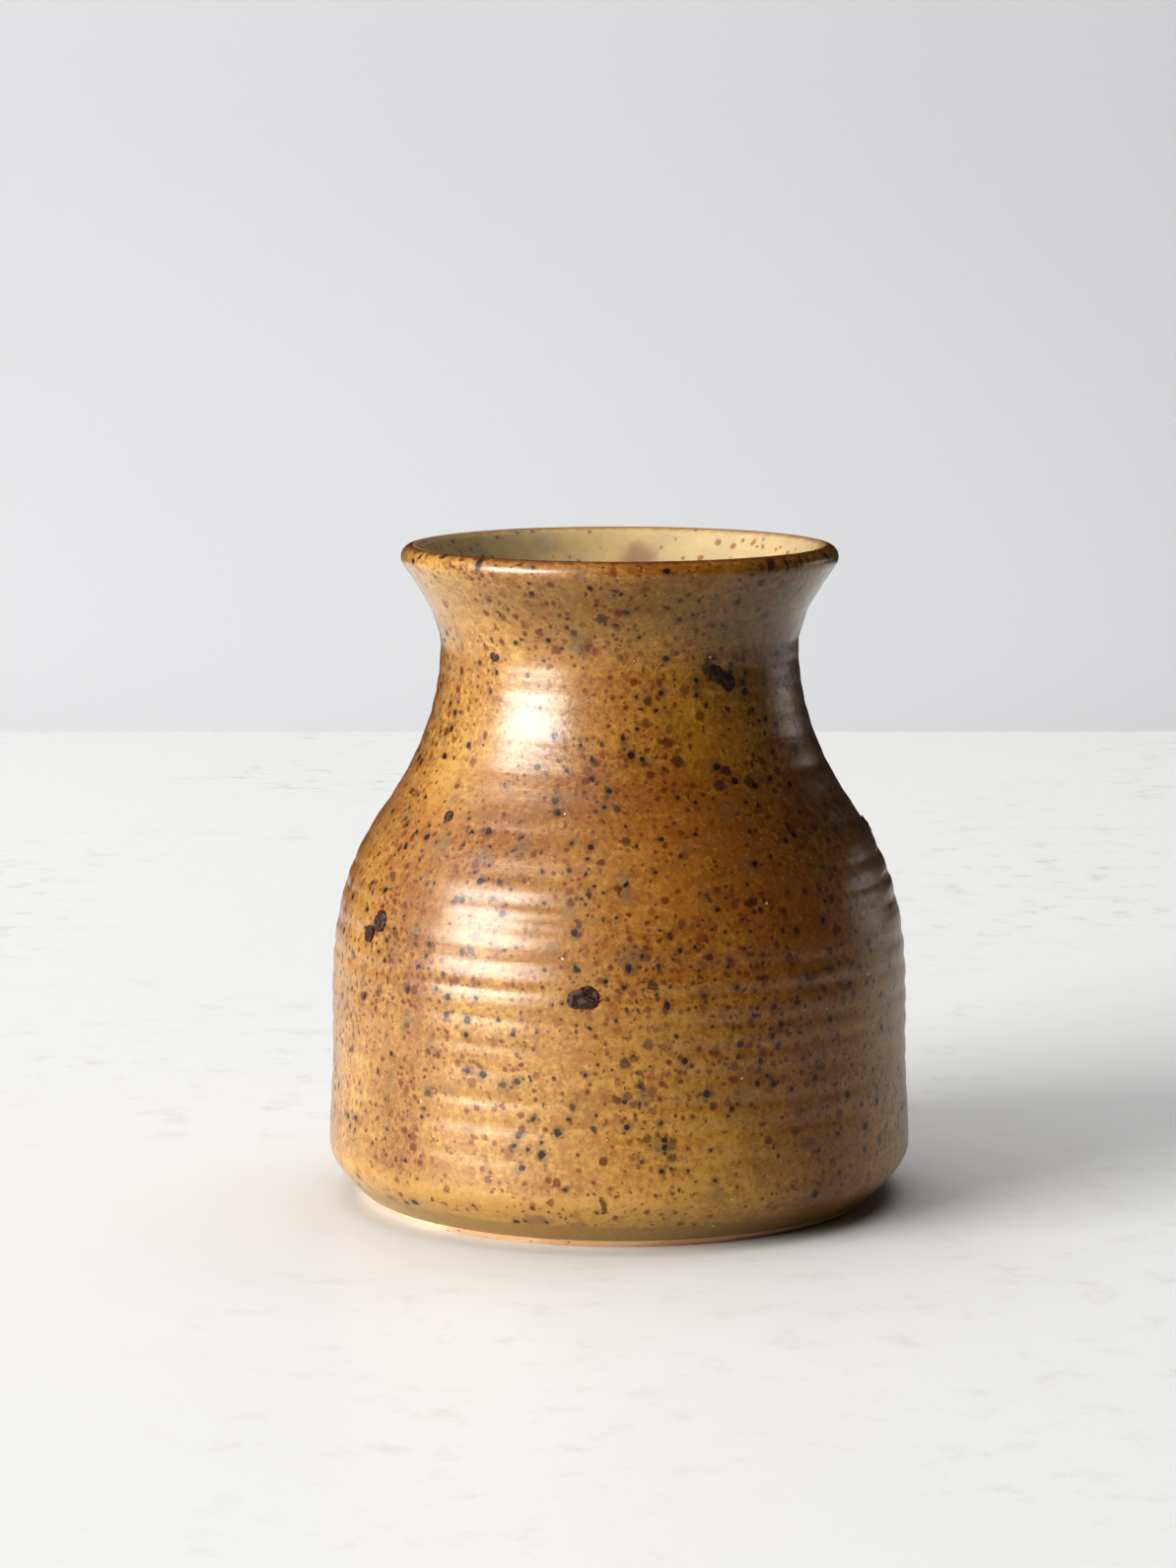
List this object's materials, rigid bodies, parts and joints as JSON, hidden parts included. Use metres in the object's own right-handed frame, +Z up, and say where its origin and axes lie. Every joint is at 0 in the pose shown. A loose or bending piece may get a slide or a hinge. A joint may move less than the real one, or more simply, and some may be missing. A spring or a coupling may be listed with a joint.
{
  "type": "bud vase",
  "caption": "Thrown stoneware bud vase with a wide belly, narrow waisted neck and flared rounded lip, glazed inside and out over a bare trimmed foot.",
  "frame": {"origin": "centre of the foot ring, on the surface the vase stands on", "axes": "+Z up along the axis the vase was thrown about; -Y towards the front of the vase; +X to the right of the front"},
  "size_m": [0.1134, 0.1134, 0.127],
  "materials": {
    "clay": "bare fired stoneware, matt, peach buff with fine dark grog",
    "amber_glaze": "satin gloss amber ash glaze, thickly speckled with rust red and blue black iron",
    "liner_glaze": "satin gloss olive cream liner glaze",
    "melted_iron": "semi matt dark brown melted iron"
  },
  "bodies": {
    "root": {"clay_body": "clay", "outer_glaze": "amber_glaze", "liner_glaze": "liner_glaze", "iron_spots": "melted_iron"}
  },
  "joints": []
}
